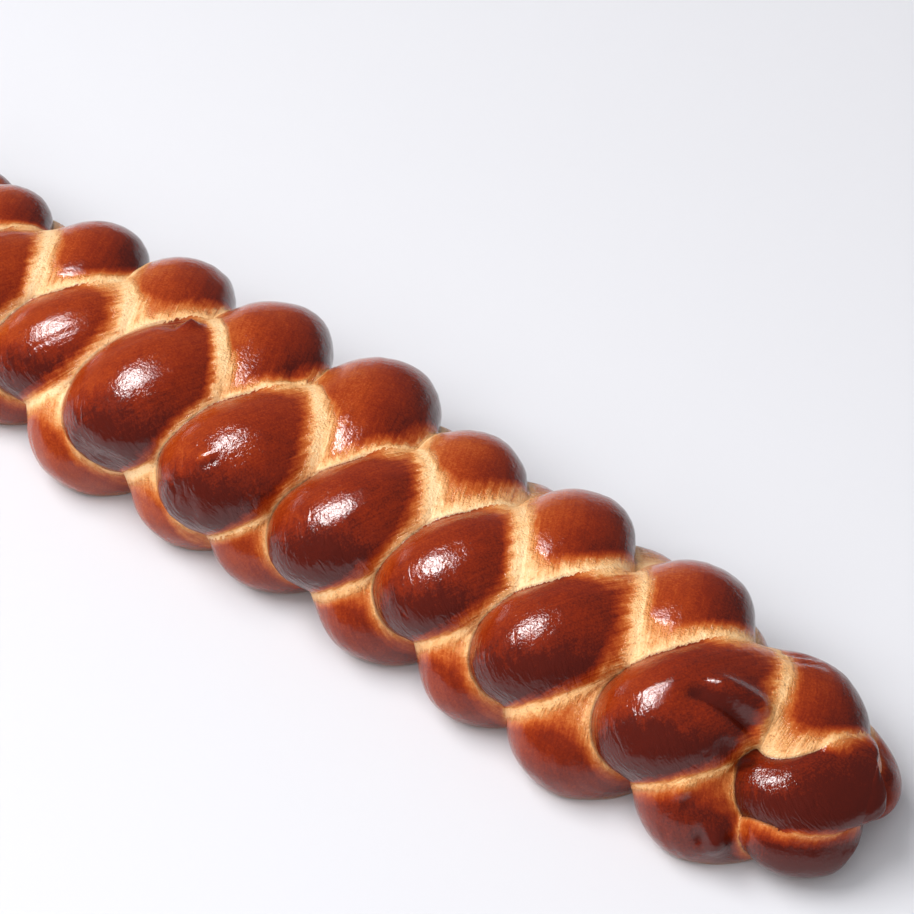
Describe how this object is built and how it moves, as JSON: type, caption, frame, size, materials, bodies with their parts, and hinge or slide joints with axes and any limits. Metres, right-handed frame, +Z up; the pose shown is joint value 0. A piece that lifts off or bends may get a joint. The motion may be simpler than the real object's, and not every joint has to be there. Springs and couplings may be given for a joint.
{
  "type": "challah loaf",
  "caption": "Long braided challah, round rope-like lobes in staggered rows, tapering to tucked ends, flat underneath.",
  "frame": {"origin": "middle of the flat underside of the loaf, centred on its bounding box", "axes": "+X along the loaf towards the tapered end where the last lobe points down to the tip, +Z up; the side with the lobes that wind over from the base on the viewer's left is -Y"},
  "size_m": [0.7742, 0.162, 0.0862],
  "materials": {
    "crust": "gloss"
  },
  "bodies": {
    "root": {"challah": "crust"}
  },
  "joints": []
}
